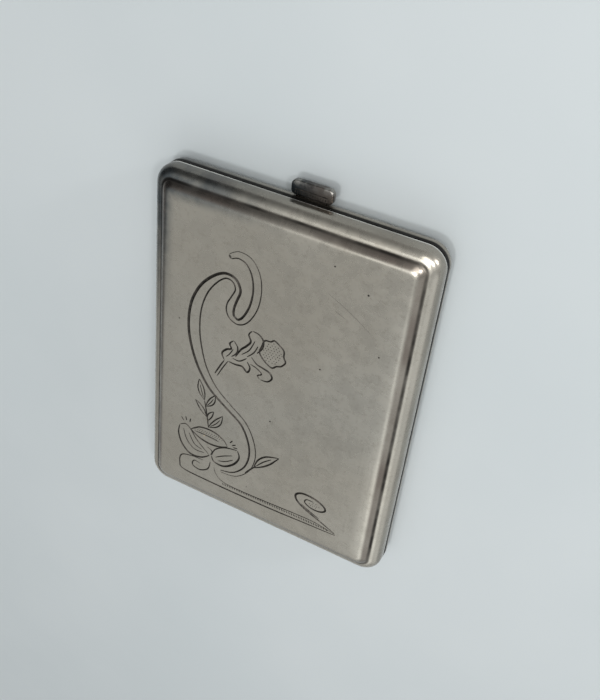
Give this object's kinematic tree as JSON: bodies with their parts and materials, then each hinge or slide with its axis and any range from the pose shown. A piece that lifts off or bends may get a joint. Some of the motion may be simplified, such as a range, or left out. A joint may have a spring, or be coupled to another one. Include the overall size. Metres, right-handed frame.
{
  "type": "needle case",
  "caption": "Flat pocket needle case: two pressed metal half shells on a knuckle hinge with a thumb catch, felt leaves and elastic bands inside.",
  "frame": {"origin": "centre of the overall length and width, on the flat back panel that the closed case lies on", "axes": "+X along the hinge, +Y from the hinge to the thumb piece, +Z from the back panel to the lid's engraved face"},
  "size_m": [0.062, 0.0902, 0.0104],
  "materials": {
    "silver": "satin, lightly tarnished silver",
    "dark_silver": "darkened silver, fine scratches",
    "steel": "drawn steel wire and spring strip",
    "gilt": "worn gilt wash",
    "felt": "wool felt",
    "elastic": "ribbed woven elastic"
  },
  "bodies": {
    "back": {"back_shell": "silver", "flange_left": "gilt", "flange_right": "gilt", "back_knuckle_1": "silver", "back_knuckle_2": "silver", "back_knuckle_3": "silver", "hinge_pin": "steel", "catch_bracket": "gilt", "catch_pin": "steel", "catch_spring": "steel", "catch_rivets": "gilt", "back_leaf": "felt", "back_band": "elastic", "back_clip_left": "gilt", "back_clip_right": "gilt", "back_band_rivets": "gilt"},
    "lid": {"lid_shell": "silver", "lid_knuckle_1": "silver", "lid_knuckle_2": "silver", "catch_keeper": "gilt", "lid_leaf": "felt", "lid_band": "elastic", "lid_clip_left": "gilt", "lid_clip_right": "gilt", "lid_band_rivets": "gilt"},
    "catch": {"catch_lever": "silver", "thumb_piece": "dark_silver"}
  },
  "joints": [
    {"name": "lid_hinge", "type": "hinge", "parent": "back", "child": "lid", "pos_m": [0, -0.044, 0.00517], "axis": [1, 0, 0], "range_deg": [0, 180]},
    {"name": "catch_pivot", "type": "hinge", "parent": "back", "child": "catch", "pos_m": [0.0018, 0.0399, 0.0034], "axis": [-1, 0, 0], "range_deg": [0, 8], "stiffness_Nm_per_rad": 0.004, "springref_deg": -17.19}
  ]
}
